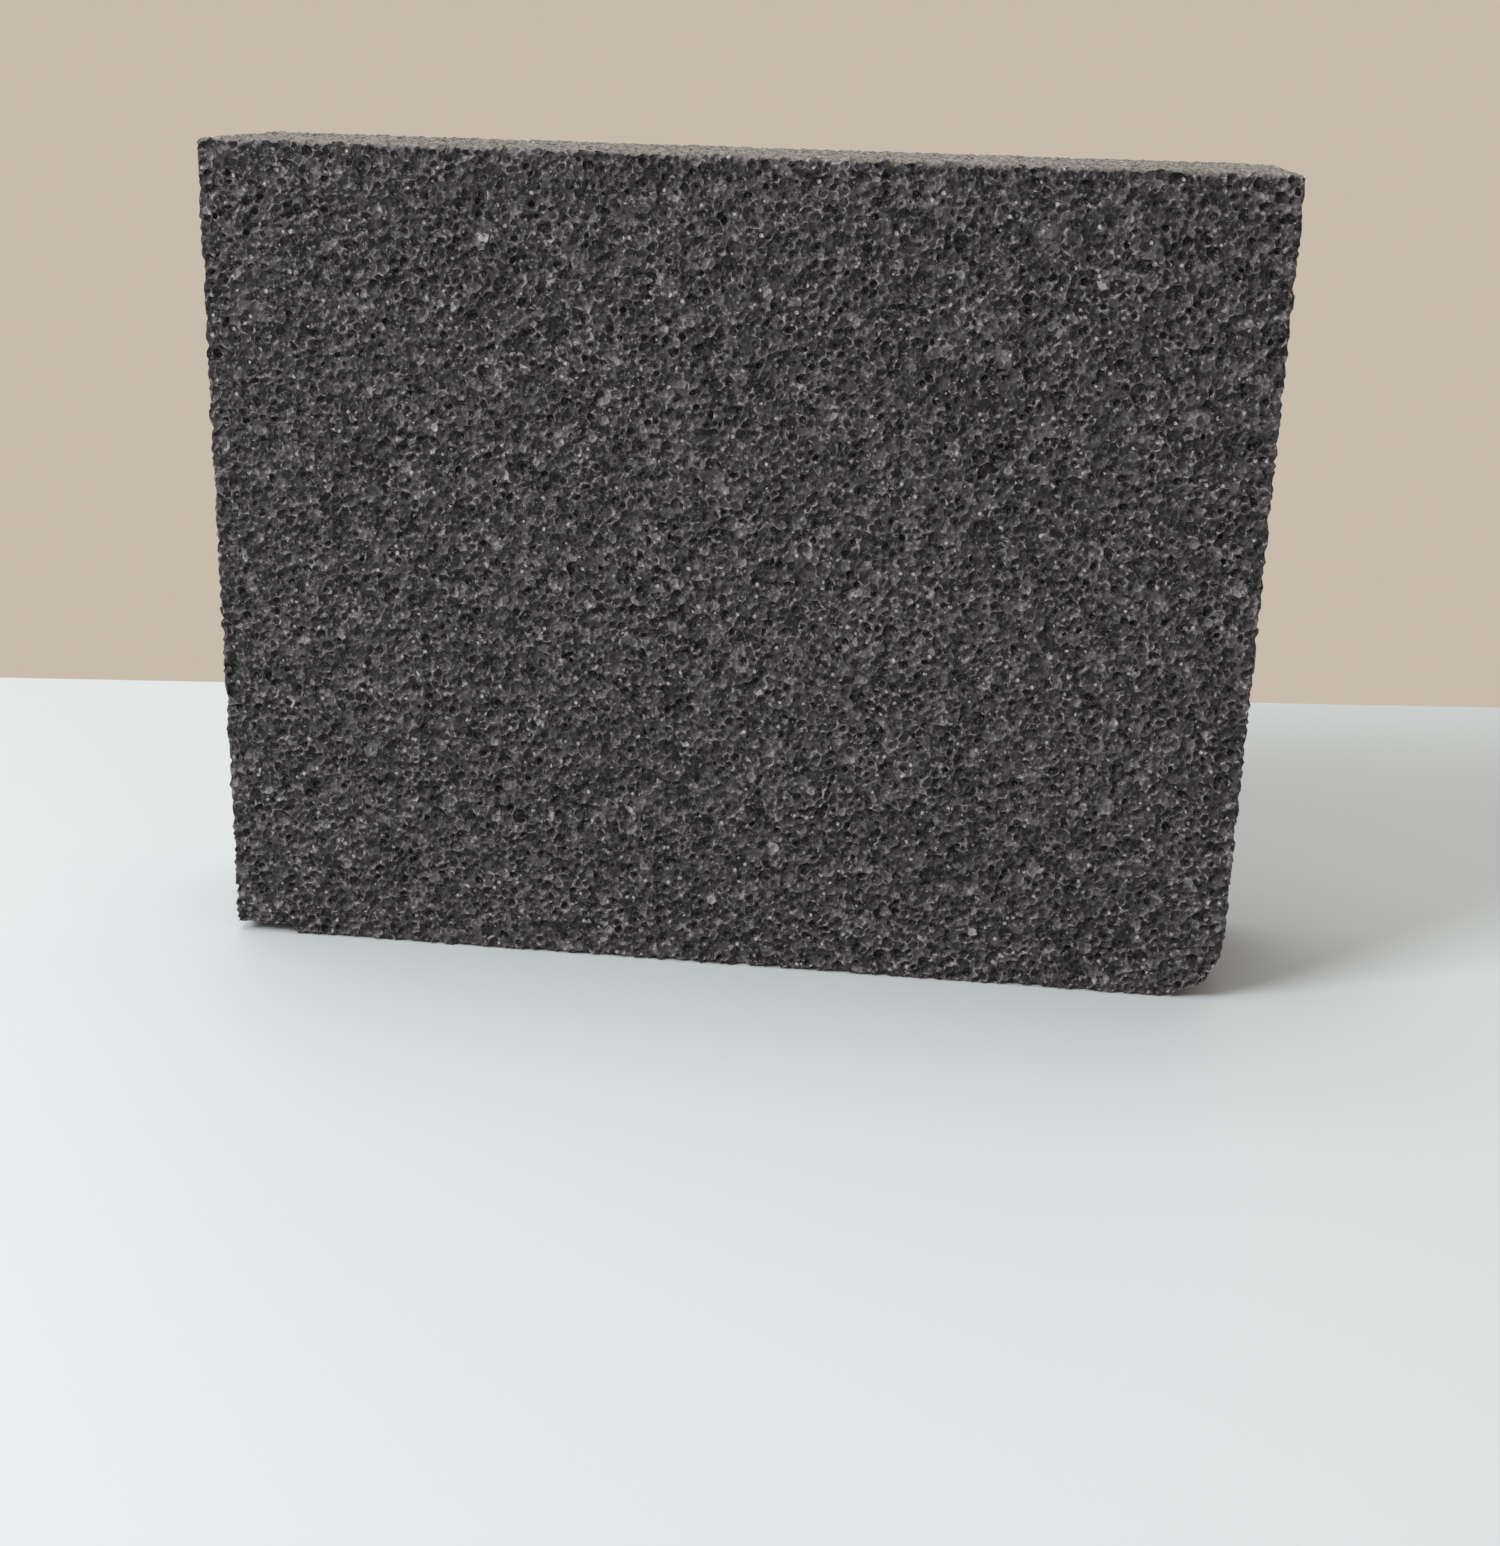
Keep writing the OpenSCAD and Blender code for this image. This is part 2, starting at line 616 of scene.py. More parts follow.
    def break_off(self, places: np.ndarray, run: float, rise: float) -> np.ndarray:
        """Breaks off the bottom right corner along one slanting face.

        Args:
            places: the block's points.
            run: what the break takes of the front edge along the base.
            rise: what it takes of the right edge.

        Returns:
            The points, with those beyond the break moved onto it.
        """
        start = np.array((self.box.high[0] - run, self.box.low[1], self.box.low[2]))
        along = np.array((run, 0, rise))
        back = np.array((run * (1 - self.wear.break_taper), self.box.size[1], 0))
        outward = np.cross(back, along)
        outward /= np.linalg.norm(outward)
        beyond = np.maximum((places - start) @ outward, 0)
        crumble = np.where(beyond > 0, self.draw.uniform(0, self.wear.break_roughness, len(places)), 0)
        return places - (beyond + crumble)[:, None] * outward

    def flake_off(self, places: np.ndarray) -> np.ndarray:
        """Lifts the base where a thin flake is gone at the left.

        Args:
            places: the block's points.

        Returns:
            The points, with those of the flake moved up.
        """
        depth = (places[:, 1] - self.box.low[1]) / self.wear.flake_t
        underside = self.box.low[2] + self.wear.flake_h * (1 - depth)
        within = places[:, 0] < self.box.low[0] + self.wear.flake_w
        places[:, 2] = np.where(within, np.maximum(places[:, 2], underside), places[:, 2])
        return places


@dataclass(frozen=True)
class Hollows:
    """The shape of the cut cells: a bowl each, with worn walls between."""

    ringed_share: float = 0.03
    ring_thickness: float = 0.0001 * MM
    ring_reach: tuple[float, float] = (0.56, 0.74)
    ring_sink: tuple[float, float] = (0.45, 0.72)
    ring_lean: float = 0.6
    lean: float = 0.38
    # A bowl's depth, in widths of its cell.
    depth: tuple[float, float] = (0.35, 1.05)
    depth_limit: float = 0.95 * MM
    shallow_share: float = 0.22
    shallow_depth: tuple[float, float] = (0.1, 0.5)
    # By the block's edges a bowl is at most this deep for its distance from the
    # edge, which counts as no less than the reach.
    edge_depth: float = 0.75
    edge_reach: float = 0.2 * MM
    # A wall is worn by this much at most, and the bias makes most walls worn less.
    wall_wear: float = 0.28 * MM
    wear_bias: int = 2
    broken_share: float = 0.30
    broken_depth: tuple[float, float] = (0.18 * MM, 0.45 * MM)
    # Where walls meet the glass is thick, and the saw leaves a wide pale spot: there
    # the rim begins this far out. A thin wall's rim begins inside the wall, and a
    # broken wall counts as far from any rim, so it gets no pale edge. The bias makes
    # most walls thin.
    thick_reach: float = -0.30 * MM
    thin_reach: float = 0.11 * MM
    thin_bias: float = 2.5
    broken_reach: float = 0.35 * MM
    # Walls along the block's edges are worn by this share of what others are.
    edge_wear: float = 0.4
    seed: int = 12


class OpenCells:
    """Turns the block's points into cells, and sinks a bowl into each."""

    def __init__(self, block: bpy.types.Object, box: Box, large: LargeCells, shape: Hollows) -> None:
        """Takes the block.

        Args:
            block: the worn block, with one point for each cell.
            box: the block's box.
            large: the large cells.
            shape: the shape of the bowls.
        """
        self.block = block
        self.mesh = block.data
        self.box = box
        self.large = large
        self.shape = shape
        self.draw = np.random.default_rng(shape.seed)

    def build(self) -> None:
        """Makes the cells."""
        self.give_each_point_a_cell()
        self.ring_widest_cells()
        self.measure_cells()
        self.poke_cells()
        BakeMap(self.box).unwrap(self.mesh)
        self.sink_bowls()
        self.note_cells()
        self.mesh.shade_smooth()

    def give_each_point_a_cell(self) -> None:
        """Swaps points and faces, so that each point becomes a many-sided cell."""
        tree = bpy.data.node_groups.new("points_to_cells", "GeometryNodeTree")
        tree.interface.new_socket("Geometry", in_out="INPUT", socket_type="NodeSocketGeometry")
        tree.interface.new_socket("Geometry", in_out="OUTPUT", socket_type="NodeSocketGeometry")
        given = add_node(tree, "NodeGroupInput")
        dual = add_node(tree, "GeometryNodeDualMesh", mesh=given.outputs[0])
        add_node(tree, "NodeGroupOutput", geometry=dual.outputs[0])
        modifier = self.block.modifiers.new("points_to_cells", "NODES")
        modifier.node_group = tree
        bpy.context.view_layer.objects.active = self.block
        bpy.ops.object.modifier_apply(modifier=modifier.name)
        self.mesh = self.block.data

    def ring_widest_cells(self) -> None:
        """Gives the widest cells an inner ring, so that their bowls are round."""
        select_all(self.mesh)
        in_edit_mode(lambda: bpy.ops.mesh.mark_sharp())
        self.rims = len(self.mesh.vertices)
        area = np.array([polygon.area for polygon in self.mesh.polygons])
        select_faces(self.mesh, area > np.quantile(area, 1 - self.shape.ringed_share))
        in_edit_mode(lambda: bpy.ops.mesh.inset(thickness=self.shape.ring_thickness, use_individual=True))
        self.rings = len(self.mesh.vertices)

    def measure_cells(self) -> None:
        """Measures each cell while it is flat."""
        places = coordinates(self.mesh)
        corners = [np.array(polygon.vertices) for polygon in self.mesh.polygons]
        self.is_cell = np.array([(c < self.rims).all() or (c >= self.rims).all() for c in corners])
        cells = [self.mesh.polygons[index] for index in np.flatnonzero(self.is_cell)]
        self.count = len(cells)
        self.centre = np.array([cell.center for cell in cells])
        self.normal = np.array([cell.normal for cell in cells])
        self.area = np.array([cell.area for cell in cells])
        around = [places[np.array(cell.vertices)] for cell in cells]
        self.outline = np.array([np.linalg.norm(p - np.roll(p, 1, axis=0), axis=1).sum() for p in around])
        leant_to = np.array([self.draw.choice(p) for p in around])
        self.lean = (leant_to - self.centre) * (self.draw.random(self.count) * self.shape.lean)[:, None]
        self.cell_of = np.full(self.rings + self.count, -1)
        for index, cell in enumerate(cells):
            if cell.vertices[0] >= self.rims:
                self.cell_of[list(cell.vertices)] = index
        self.cell_of[self.rings :] = np.arange(self.count)

    def poke_cells(self) -> None:
        """Adds a point in the middle of each cell."""
        select_faces(self.mesh, self.is_cell)
        in_edit_mode(lambda: bpy.ops.mesh.poke())

    def bowl_depths(self) -> np.ndarray:
        """Draws how deep each bowl is.

        Returns:
            One depth for each cell.
        """
        deep = self.draw.uniform(*self.shape.depth, self.count) * np.sqrt(self.area)
        shallow = self.draw.random(self.count) < self.shape.shallow_share
        deep[shallow] *= self.draw.uniform(*self.shape.shallow_depth, shallow.sum())
        deep = np.minimum(deep, self.shape.depth_limit)
        for x, y, z, radius in self.large.on_box(self.box):
            within = np.linalg.norm(self.centre - (x, y, z), axis=1) < radius * self.large.deepened_reach
            deep[within] = self.large.depth
        from_edge = np.maximum(self.box.from_edge(self.centre), self.shape.edge_reach)
        return np.minimum(deep, self.shape.edge_depth * from_edge)

    def sink_bowls(self) -> None:
        """Sinks the rings and middles of the cells and wears down their walls."""
        places = coordinates(self.mesh)
        deep = self.bowl_depths()
        ring = np.arange(self.rims, self.rings)
        cell = self.cell_of[ring]
        self.ring_keep = self.draw.uniform(*self.shape.ring_reach, self.count)[cell]
        ring_deep = (deep * self.draw.uniform(*self.shape.ring_sink, self.count))[cell]
        from_centre = (places[ring] - self.centre[cell]) * self.ring_keep[:, None]
        leant = self.lean[cell] * self.shape.ring_lean
        places[ring] = self.centre[cell] + from_centre + leant - self.normal[cell] * ring_deep[:, None]
        places[self.rings :] = self.centre + self.lean - self.normal * deep[:, None]
        places[: self.rims] -= self.wall_wear()
        set_coordinates(self.mesh, self.box.keep_inside(places))

    def wall_wear(self) -> np.ndarray:
        """Draws how far each point of the walls' rims is worn down.

        Returns:
            For each of those points, how far it moves inwards.
        """
        outward = np.empty(len(self.mesh.vertices) * 3)
        self.mesh.vertices.foreach_get("normal", outward)
        worn = self.draw.random(self.rims) ** self.shape.wear_bias * self.shape.wall_wear
        self.broken = self.draw.random(self.rims) < self.shape.broken_share
        worn[self.broken] = self.draw.uniform(*self.shape.broken_depth, self.broken.sum())
        from_edge = self.box.from_edge(coordinates(self.mesh)[: self.rims])
        worn[from_edge < self.shape.edge_reach] *= self.shape.edge_wear
        return outward.reshape(-1, 3)[: self.rims] * worn[:, None]

    def note_cells(self) -> None:
        """Stores what the material reads: how far each point lies from a wall, and each cell's tone."""
        from_wall = np.zeros(self.rings + self.count)
        reach = 2 * self.area / self.outline
        thick = self.draw.random(self.rims) ** self.shape.thin_bias
        at_wall = self.shape.thin_reach + (self.shape.thick_reach - self.shape.thin_reach) * thick
        from_wall[: self.rims] = np.where(self.broken, self.shape.broken_reach, at_wall)
        ring_cells = self.cell_of[self.rims : self.rings]
        from_wall[self.rims : self.rings] = reach[ring_cells] * (1 - self.ring_keep)
        from_wall[self.rings :] = reach
        wall_note = self.mesh.attributes.new("from_wall_mm", "FLOAT", "POINT")
        wall_note.data.foreach_set("value", from_wall / MM)
        tone = self.draw.random(self.count)
        owner = np.array([self.cell_of[max(polygon.vertices)] for polygon in self.mesh.polygons])
        self.mesh.attributes.new("cell_tone", "FLOAT", "FACE").data.foreach_set("value", tone[owner])


@dataclass(frozen=True)
class BakeMap:
    """Lays the block's six sides out flat, beside each other on one square."""

    box: Box
    gap: float = 1.5 * MM

    def unwrap(self, mesh: bpy.types.Mesh) -> None:
        """Adds the map, with each face laid out with the side that it lies nearest.

        Args:
            mesh: the board's cells, before their bowls are sunk.
        """
        corner = np.empty(len(mesh.loops), int)
        mesh.loops.foreach_get("vertex_index", corner)
        corners = np.empty(len(mesh.polygons), int)
        mesh.polygons.foreach_get("loop_total", corners)
        centre = np.empty(len(mesh.polygons) * 3)
        mesh.polygons.foreach_get("center", centre)
        side = np.repeat(self.box.reaches(centre.reshape(-1, 3)).argmin(1), corners)
        flat = self.lay_flat(coordinates(mesh)[corner], side)
        mesh.uv_layers.new(name="OFBake").data.foreach_set("uv", flat.ravel())

    def lay_flat(self, places: np.ndarray, side: np.ndarray) -> np.ndarray:
        """Finds the map's place for each corner of each face.

        Args:
            places: the corners' places.
            side: the side that each is laid out with, in the order of Box.reaches.

        Returns:
            Two numbers from 0 to 1 for each corner.
        """
        w, t, h = self.box.size
        low, high = places - self.box.low, self.box.high - places
        second = self.gap * 2 + w
        third, last = second + self.gap + t, second + 2 * (self.gap + t)
        upper = self.gap * 2 + h
        flat = np.empty((len(places), 2))
        # Each side's two directions are picked so that none is laid out mirrored.
        for index, across, along, x, y in (
            (0, high[:, 1], low[:, 2], second, self.gap),
            (1, low[:, 0], low[:, 2], self.gap, self.gap),
            (2, low[:, 1], low[:, 0], last, self.gap),
            (3, low[:, 1], low[:, 2], second, upper),
            (4, high[:, 0], low[:, 2], self.gap, upper),
            (5, high[:, 1], low[:, 0], third, self.gap),
        ):
            on_it = side == index
            flat[on_it] = np.column_stack([across[on_it] + x, along[on_it] + y])
        return flat / (last + t + self.gap)


@dataclass(frozen=True)
class FoamGlass:
    """Foam glass: dark glass full of gas cells, sawn open and left raw.

    It gives the eye near black bowls of smooth glass, with thin walls between
    that the saw has powdered pale, so the whole looks like dark grey grain.
    Painted shade darkens each small pore's middle, painted glints light rare
    specks and rim spots, and the top's pale mix is partly painted light.
    """

    glass: str = "#312f32"
    sawn_rim: str = "#837d7f"
    # Pale glass powder, which also stands in for painted light from above.
    powder_and_top_light: str = "#b4b1ab"
    # Small cells of 0.5 mm show within the large ones on the real thing. They
    # are drawn 0.85 mm wide, because finer ones would melt into plain grey.
    pore: float = 0.85 * MM
    pore_depth: float = 0.30 * MM
    pore_bump: float = 0.8
    # Between these distances from its middle, in pores, a pore rises to its edge.
    pore_rise: tuple[float, float] = (0.1, 0.6)
    # How many times lighter the lightest cell is than the darkest. A pore's
    # tone is drawn twice and multiplied, so few pores are very light or dark.
    pore_tones: float = 7.0
    cell_tones: float = 7.0
    # The glass's brightness in a pore's middle and at its edge: the darker middle
    # is painted shade in the pore's hollow.
    glass_with_painted_pore_shade: tuple[float, float] = (0.0356, 0.04895)
    # Some pores get a pale speck in their middle: a painted glint. A pore has
    # one if its random number is past this range, and it ends between these
    # heights of the pore's slope.
    painted_glint: str = "#a9a5a6"
    painted_glint_chance: tuple[float, float] = (0.92, 0.95)
    painted_glint_edge: tuple[float, float] = (0.6, 0.3)
    # The saw chips the rims about this finely. Over this range of the chips'
    # pattern it shifts a rim's edge in or out, by this much at most.
    chip: float = 0.5 * MM
    chip_detail: float = 1.0
    chip_shift_mm: float = 0.08
    chip_shift_range: tuple[float, float] = (0.25, 0.75)
    rim_width_mm: tuple[float, float] = (0.03, 0.13)
    rim_share: float = 0.85
    # A pore also has a faint rim of its own if its random number is past this range.
    pore_edge: float = 0.75
    pore_rim_share: float = 0.25
    pore_rim_chance: tuple[float, float] = (0.3, 0.5)
    # Few chips are bright, partly powder and partly painted glints: the chips'
    # pattern is raised to a power, and this range of it is spread from dull to
    # bright.
    chip_power: float = 5.0
    chip_range: tuple[float, float] = (0.012, 0.16)
    rim_powder_and_glint_brightness: tuple[float, float] = (0.35, 1.6)
    smooth: float = 0.35
    powdered: float = 0.75
    gloss: float = 0.25
    # The top's pale mix is partly glass powder and partly painted light from
    # above: how far below the sawn top it thins out, its share there and on the
    # rims, and how much a surface has to face up to get it.
    powder_and_top_light_reach: tuple[float, float] = (0.9 * MM, 0.15 * MM)
    powder_and_top_light_share: tuple[float, float] = (0.04, 0.45)
    powder_and_top_light_facing: tuple[float, float] = (0.1, 0.6)

    def material(self, top: float) -> bpy.types.Material:
        """Makes the material.

        Args:
            top: the height of the board's sawn top.

        Returns:
            The finished material.
        """
        material = bpy.data.materials.new("foam_glass")
        material.use_nodes = True
        material.node_tree.nodes.clear()
        add = partial(add_node, material.node_tree)
        place = add("ShaderNodeTexCoord").outputs["Object"]
        pores = add("ShaderNodeTexVoronoi", vector=place, scale=1 / self.pore)
        chance = add("ShaderNodeSeparateColor", color=pores.outputs["Color"])
        slope = add(
            "ShaderNodeMapRange",
            value=pores.outputs["Distance"],
            from_min=self.pore_rise[0],
            from_max=self.pore_rise[1],
        ).outputs[0]
        chips = add(
            "ShaderNodeTexNoise", vector=place, scale=1 / self.chip, detail=self.chip_detail
        ).outputs["Fac"]
        rim = self.rim(add, chips, slope, chance.outputs["Blue"])
        cut = self.cut_glass(add, self.tone(add, chance, slope), rim, chips)
        glinted = self.painted_glints(add, cut, chance.outputs["Blue"], slope)
        rough = add("ShaderNodeMapRange", value=rim, to_min=self.smooth, to_max=self.powdered)
        bump = add("ShaderNodeBump", strength=self.pore_bump, distance=self.pore_depth, height=slope)
        shader = add(
            "ShaderNodeBsdfPrincipled",
            base_color=self.powder_and_painted_top_light(add, glinted, place, top),
            roughness=rough.outputs[0],
            specular_ior_level=self.gloss,
            normal=bump.outputs[0],
        )
        add("ShaderNodeOutputMaterial", surface=shader.outputs[0])
        return material

    def tone(self, add: AddNode, chance: bpy.types.ShaderNode, slope: Socket) -> Socket:
        """Makes each cell and each small pore lighter or darker, few of them by much,
        and paints shade into each pore's middle.

        Args:
            add: adds a node to the material.
            chance: the node with three random numbers for each pore.
            slope: 0 in a pore's middle and 1 at its edge.

        Returns:
            What the glass's colour is multiplied by.
        """
        cell = add("ShaderNodeAttribute", {"attribute_name": "cell_tone"}).outputs["Fac"]
        red, green = chance.outputs["Red"], chance.outputs["Green"]
        pore = add("ShaderNodeMath", {"operation": "ADD"}, at_0=red, at_1=green).outputs[0]
        power = {"operation": "POWER"}
        times = {"operation": "MULTIPLY"}
        cell_tone = add("ShaderNodeMath", power, at_0=self.cell_tones, at_1=cell).outputs[0]
        pore_tone = add("ShaderNodeMath", power, at_0=self.pore_tones, at_1=pore).outputs[0]
        both = add("ShaderNodeMath", times, at_0=cell_tone, at_1=pore_tone).outputs[0]
        # Painted shade: the glass darkens towards each pore's middle.
        shade = add("ShaderNodeMapRange", value=slope, to_min=self.glass_with_painted_pore_shade[0], to_max=self.glass_with_painted_pore_shade[1])
        return add("ShaderNodeMath", times, at_0=both, at_1=shade.outputs[0]).outputs[0]

    def rim(self, add: AddNode, chips: Socket, slope: Socket, chance: Socket) -> Socket:
        """Finds the sawn rims of the walls, and of some of the small pores.

        Args:
            add: adds a node to the material.
            chips: uneven patches about one chip wide.
            slope: 0 in a pore's middle and 1 at its edge.
            chance: a random number for each pore.

        Returns:
            1 on a rim and 0 away from it.
        """
        from_wall = add("ShaderNodeAttribute", {"attribute_name": "from_wall_mm"}).outputs["Fac"]
        shift = add(
            "ShaderNodeMapRange",
            value=chips,
            from_min=self.chip_shift_range[0],
            from_max=self.chip_shift_range[1],
            to_min=self.chip_shift_mm,
            to_max=-self.chip_shift_mm,
        ).outputs[0]
        ragged = add("ShaderNodeMath", {"operation": "ADD"}, at_0=from_wall, at_1=shift).outputs[0]
        wall_rim = add(
            "ShaderNodeMapRange",
            value=ragged,
            from_min=self.rim_width_mm[0],
            from_max=self.rim_width_mm[1],
            to_min=self.rim_share,
            to_max=0.0,
        ).outputs[0]
        at_edge = add(
            "ShaderNodeMapRange", value=slope, from_min=self.pore_edge, to_max=self.pore_rim_share
        ).outputs[0]
        some = add(
            "ShaderNodeMapRange",
            value=chance,
            from_min=self.pore_rim_chance[0],
            from_max=self.pore_rim_chance[1],
        ).outputs[0]
        pore_rim = add("ShaderNodeMath", {"operation": "MULTIPLY"}, at_0=at_edge, at_1=some).outputs[0]
        return add("ShaderNodeMath", {"operation": "MAXIMUM"}, at_0=wall_rim, at_1=pore_rim).outputs[0]

    def cut_glass(self, add: AddNode, tone: Socket, rim: Socket, chips: Socket) -> Socket:
        """Colours the bowls and rims, with painted glints on rare spots of the rims.

        Args:
            add: adds a node to the material.
            tone: what the glass's colour is multiplied by.
            rim: 1 on a rim and 0 away from it.
            chips: uneven patches about one chip wide.

        Returns:
            The colour.
        """
        scale = {"operation": "SCALE"}
        glass = add("ShaderNodeVectorMath", scale, at_0=linear(self.glass)[:3], scale=tone).outputs[0]
        # The rims' brightness varies as powder does, and its rare bright spots are painted glints.
        rare = add("ShaderNodeMath", {"operation": "POWER"}, at_0=chips, at_1=self.chip_power).outputs[0]
        powder_and_glint = add(
            "ShaderNodeMapRange",
            value=rare,
            from_min=self.chip_range[0],
            from_max=self.chip_range[1],
            to_min=self.rim_powder_and_glint_brightness[0],
            to_max=self.rim_powder_and_glint_brightness[1],
        ).outputs[0]
        sawn = add("ShaderNodeVectorMath", scale, at_0=linear(self.sawn_rim)[:3], scale=powder_and_glint).outputs[0]
        return add("ShaderNodeMix", {"data_type": "RGBA"}, at_0=rim, at_6=glass, at_7=sawn).outputs["Result"]

    def painted_glints(self, add: AddNode, cut: Socket, chance: Socket, slope: Socket) -> Socket:
        """Paints a small pale speck, a painted glint, in the middle of some pores.

        Args:
            add: adds a node to the material.
            cut: the colour of the bowls and rims.
            chance: a random number for each pore.
            slope: 0 in a pore's middle and 1 at its edge.

        Returns:
            The colour.
        """
        some = add(
            "ShaderNodeMapRange", value=chance, from_min=self.painted_glint_chance[0], from_max=self.painted_glint_chance[1]
        ).outputs[0]
        middle = add(
            "ShaderNodeMapRange", value=slope, from_min=self.painted_glint_edge[0], from_max=self.painted_glint_edge[1]
        ).outputs[0]
        there = add("ShaderNodeMath", {"operation": "MULTIPLY"}, at_0=some, at_1=middle).outputs[0]
        glint_colour = linear(self.painted_glint)
        return add("ShaderNodeMix", {"data_type": "RGBA"}, at_0=there, at_6=cut, at_7=glint_colour).outputs["Result"]

    def powder_and_painted_top_light(self, add: AddNode, cut: Socket, place: Socket, top: float) -> Socket:
        """Lays a pale mix on the rims of the top, and less of it in the bowls: partly
        glass powder, partly painted light on what faces up.

        Args:
            add: adds a node to the material.
            cut: the colour of the bowls and rims.
            place: the place on the board.
            top: the height of the board's sawn top.

        Returns:
            The colour.
        """
        near_top = add(
            "ShaderNodeMapRange",
            value=add("ShaderNodeSeparateXYZ", vector=place).outputs["Z"],
            from_min=top - self.powder_and_top_light_reach[0],
            from_max=top - self.powder_and_top_light_reach[1],
            to_min=self.powder_and_top_light_share[0],
            to_max=self.powder_and_top_light_share[1],
        ).outputs[0]
        normal = add("ShaderNodeNewGeometry").outputs["Normal"]
        facing_up = add(
            "ShaderNodeMapRange",
            value=add("ShaderNodeSeparateXYZ", vector=normal).outputs["Z"],
            from_min=self.powder_and_top_light_facing[0],
            from_max=self.powder_and_top_light_facing[1],
        ).outputs[0]
        # Painted light from above, mixed with powder: paler near the top on what faces up.
        top_powder_and_light = add("ShaderNodeMath", {"operation": "MULTIPLY"}, at_0=near_top, at_1=facing_up).outputs[0]
        pale = linear(self.powder_and_top_light)
        mix = add("ShaderNodeMix", {"data_type": "RGBA"}, at_0=top_powder_and_light, at_6=cut, at_7=pale)
        return mix.outputs["Result"]


@dataclass(frozen=True)
class WhiteTable:
    """A white laminate table top, wiped clean: pale, even and slightly dull."""

    top: str = "#dae3e7"
    roughness: float = 0.6

    def material(self) -> bpy.types.Material:
        """Makes the material.

        Returns:
            The finished material.
        """
        material = bpy.data.materials.new("white_table")
        material.use_nodes = True
        material.node_tree.nodes.clear()
        add = partial(add_node, material.node_tree)
        shader = add("ShaderNodeBsdfPrincipled", base_color=linear(self.top), roughness=self.roughness)
        add("ShaderNodeOutputMaterial", surface=shader.outputs[0])
        return material


@dataclass(frozen=True)
class Lamp:
    """A square soft lamp that points at the board."""

    name: str
    place: tuple[float, float, float]
    side: float
    power: float
    # How widely the lamp's hood lets the light fan out.
    spread: float

    def hang(self, target: Vector) -> None:
        """Adds the lamp.

        Args:
            target: the point that the lamp points at.
        """
        data = bpy.data.lights.new(self.name, "AREA")
        data.size = self.side
        data.energy = self.power
        data.spread = self.spread
        lamp = bpy.data.objects.new(self.name, data)
        bpy.context.scene.collection.objects.link(lamp)
        lamp.location = self.place
        lamp.rotation_euler = (target - Vector(self.place)).to_track_quat("-Z", "Y").to_euler()


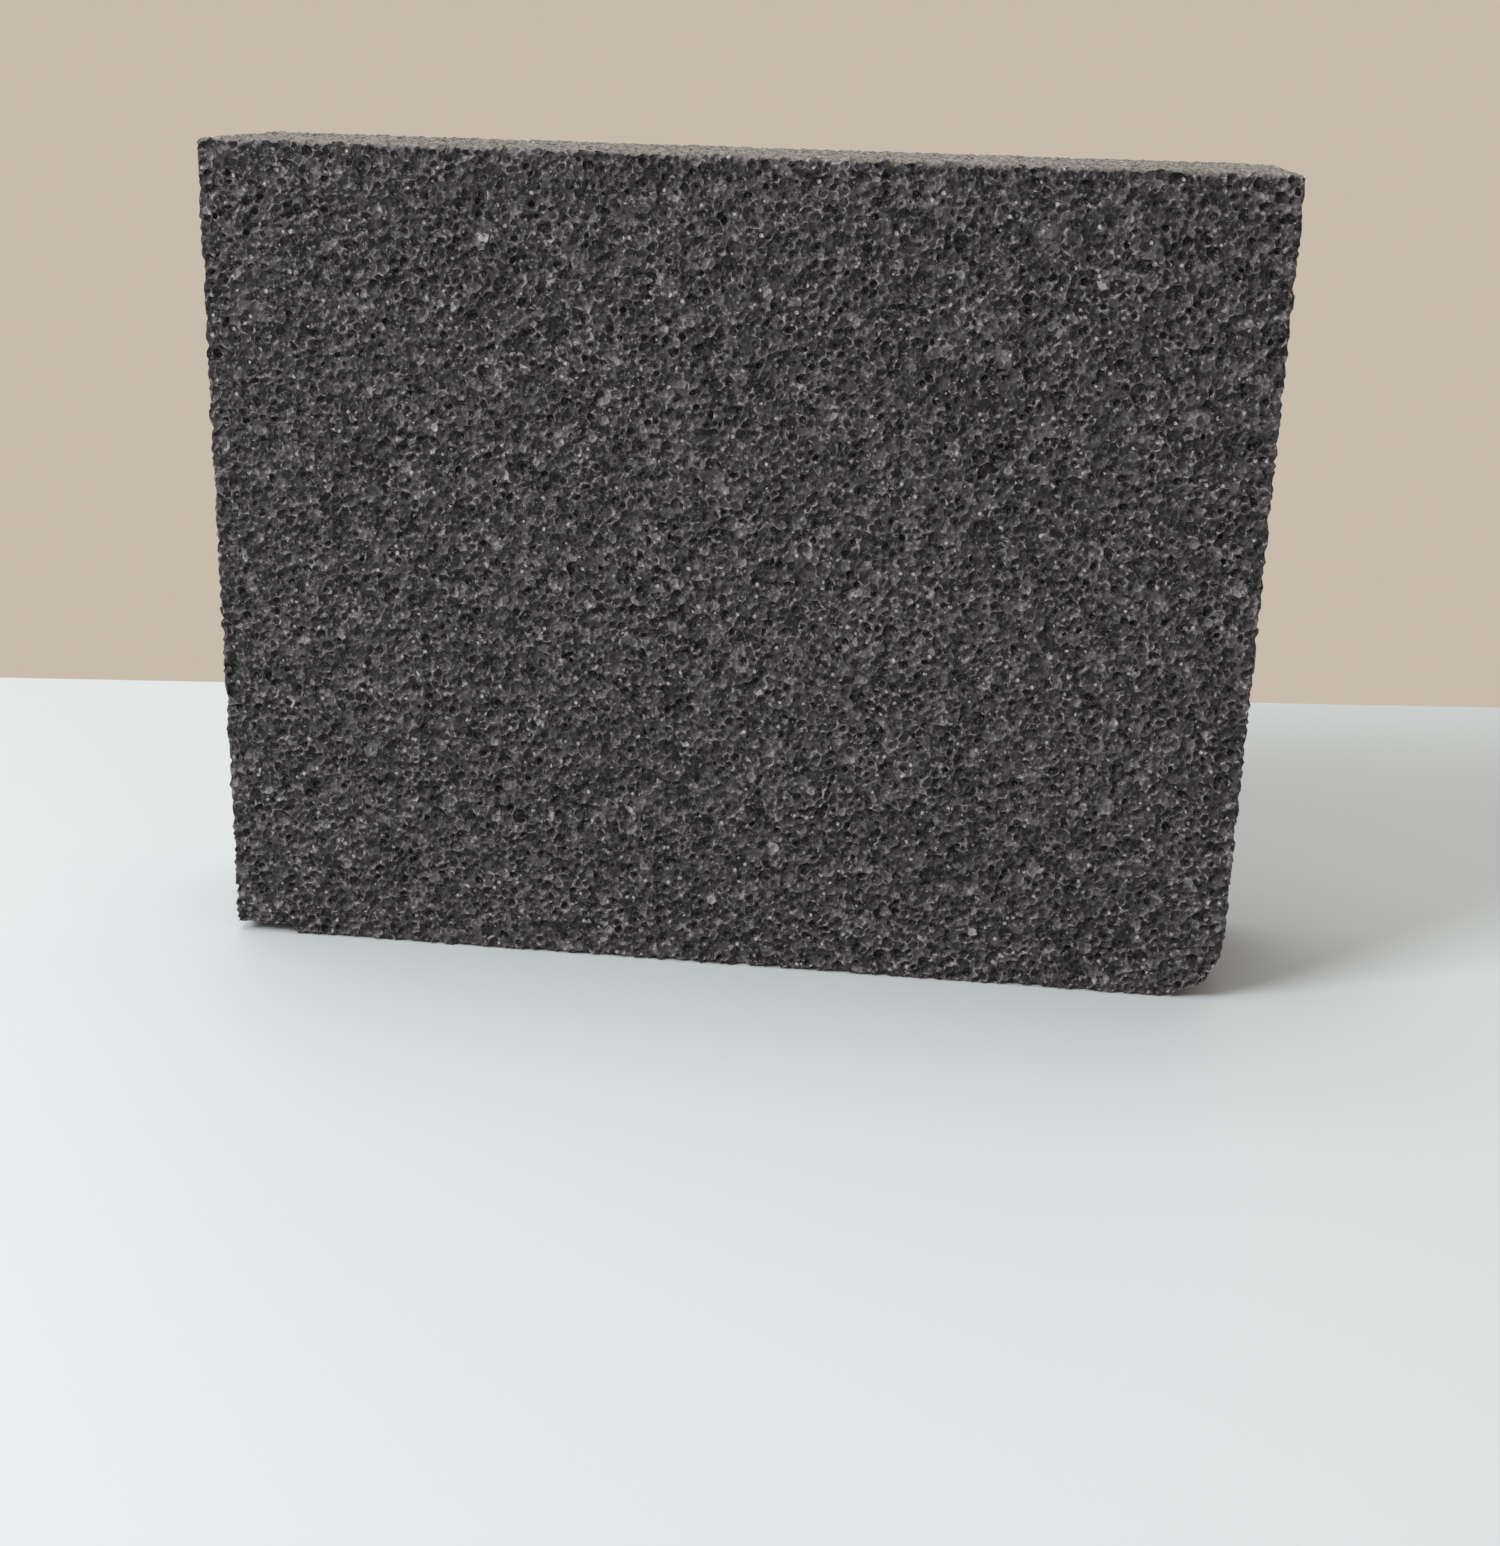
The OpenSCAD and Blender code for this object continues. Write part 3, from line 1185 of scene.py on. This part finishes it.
@dataclass(frozen=True)
class Studio:
    """The table top, the wall behind it, the light and the camera."""

    table_size: tuple[float, float] = (6.0, 3.0)
    table_back: float = 0.1231
    table_turn: float = math.atan(0.140)
    table: WhiteTable = field(default_factory=WhiteTable)
    wall: str = "#c8bbab"
    daylight: str = "#fff3e8"
    daylight_strength: float = 0.42
    lamps: tuple[Lamp, ...] = (
        Lamp("window", (-0.80, -0.60, 0.66), side=0.45, power=4.6, spread=math.radians(120)),
        Lamp("ceiling", (-0.20, 0.10, 1.20), side=0.7, power=4.8, spread=math.radians(180)),
    )
    camera_place: tuple[float, float, float] = (0.03288, -0.28506, 0.12000)
    camera_yaw: float = math.radians(6.10)
    camera_pitch: float = math.radians(18.55)
    camera_roll: float = math.radians(1.68)
    lens: float = 48.76
    sensor: float = 36.0

    def build(self, target: Vector) -> None:
        """Sets up the studio around the board.

        Args:
            target: the board's centre.
        """
        self.lay_table()
        self.light_world()
        for lamp in self.lamps:
            lamp.hang(target)
        self.place_camera()
        bpy.context.scene.view_settings.view_transform = "Standard"

    def lay_table(self) -> None:
        """Lays the table top, with its far edge where the wall rises."""
        bpy.ops.object.select_all(action="DESELECT")
        bpy.ops.mesh.primitive_plane_add(size=1)
        table = bpy.context.object
        table.name = "table_top"
        table.scale = (*self.table_size, 1)
        half = self.table_size[1] / 2
        across, along = half * math.sin(self.table_turn), half * math.cos(self.table_turn)
        table.location = (across, self.table_back - along, 0)
        table.rotation_euler = (0, 0, self.table_turn)
        bpy.ops.object.transform_apply(location=True, rotation=True, scale=True)
        table.data.materials.append(self.table.material())

    def light_world(self) -> None:
        """Gives soft daylight from all around, and a plain wall behind."""
        world = bpy.data.worlds.new("studio")
        bpy.context.scene.world = world
        world.use_nodes = True
        world.node_tree.nodes.clear()
        add = partial(add_node, world.node_tree)
        rays = add("ShaderNodeLightPath").outputs
        camera, glossy, through = rays["Is Camera Ray"], rays["Is Glossy Ray"], rays["Is Transmission Ray"]
        either = {"operation": "MAXIMUM"}
        seen = add("ShaderNodeMath", either, at_0=camera, at_1=glossy).outputs[0]
        seen = add("ShaderNodeMath", either, at_0=seen, at_1=through).outputs[0]
        light = add("ShaderNodeBackground", color=linear(self.daylight), strength=self.daylight_strength)
        wall = add("ShaderNodeBackground", color=linear(self.wall), strength=1.0)
        mix = add("ShaderNodeMixShader", at_0=seen, at_1=light.outputs[0], at_2=wall.outputs[0])
        add("ShaderNodeOutputWorld", surface=mix.outputs[0])

    def place_camera(self) -> None:
        """Places the camera in front of the board, a little above it."""
        data = bpy.data.cameras.new("camera")
        data.lens = self.lens
        data.sensor_width = self.sensor
        camera = bpy.data.objects.new("camera", data)
        bpy.context.scene.collection.objects.link(camera)
        turn = (
            Matrix.Rotation(self.camera_yaw, 4, "Z")
            @ Matrix.Rotation(math.pi / 2 - self.camera_pitch, 4, "X")
            @ Matrix.Rotation(self.camera_roll, 4, "Z")
        )
        camera.matrix_world = Matrix.Translation(self.camera_place) @ turn
        bpy.context.scene.camera = camera


class Board:
    """The one piece of the object: the sawn block of foam glass."""

    def __init__(self, box: Box, finish: FoamGlass) -> None:
        """Takes the board's place and finish.

        Args:
            box: the CAD node's box.
            finish: what the board is made of.
        """
        self.box = box
        self.finish = finish

    def build(self) -> bpy.types.Object:
        """Builds the board and puts it in the place of its CAD node.

        Returns:
            The finished piece.
        """
        block = SawnBlock(self.box)
        piece = block.build()
        OpenCells(piece, self.box, block.large, Hollows()).build()
        piece.data.materials.append(self.finish.material(self.box.high[2]))
        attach(piece, "root")
        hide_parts("board")
        return piece


def main() -> None:
    """Builds the board and its studio, and logs how many triangles the board came out with."""
    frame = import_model()
    low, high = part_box("board")
    box = Box(np.array(low), np.array(high))
    board = Board(box, FoamGlass()).build()
    triangles = sum(len(polygon.vertices) - 2 for polygon in board.data.polygons)
    LOG.info("%s: %d triangles for %d CAD node", board.name, triangles, len(frame["nodes"]))
    Studio().build(Vector(box.middle))


if __name__ == "__main__":
    logging.basicConfig(level=logging.INFO, format="%(name)s: %(message)s")
    main()
